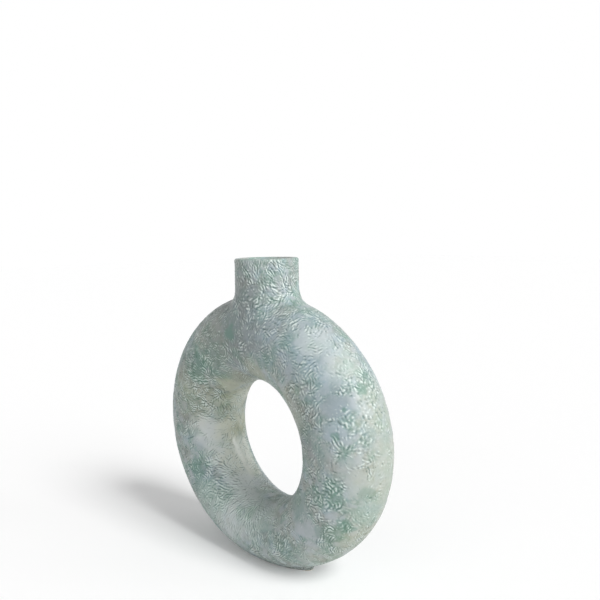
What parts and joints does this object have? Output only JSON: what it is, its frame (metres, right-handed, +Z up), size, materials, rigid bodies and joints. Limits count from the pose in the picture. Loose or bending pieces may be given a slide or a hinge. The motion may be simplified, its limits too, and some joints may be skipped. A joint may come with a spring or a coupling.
{
  "type": "donut vase",
  "caption": "Hollow ceramic ring that stands on edge, with an oval hole through it, a short open neck on a flared shoulder at its crown and a flat oval foot; feathered relief glaze.",
  "frame": {"origin": "middle of the foot's flat underside", "axes": "+Z up through the middle of the neck; X runs across the width of the ring; Y runs through the hole, with the front of the ring towards -Y"},
  "size_m": [0.253, 0.064, 0.25],
  "materials": {
    "glaze": "satin glaze, pale grey-lilac feathered ridges over sea green hollows",
    "bare_clay": "matt unglazed stoneware where the foot stands"
  },
  "bodies": {
    "root": {"ring_front_half": "glaze", "ring_back_half": "glaze", "foot": "bare_clay", "shoulder_saddle": "glaze", "neck_collar": "glaze"}
  },
  "joints": []
}
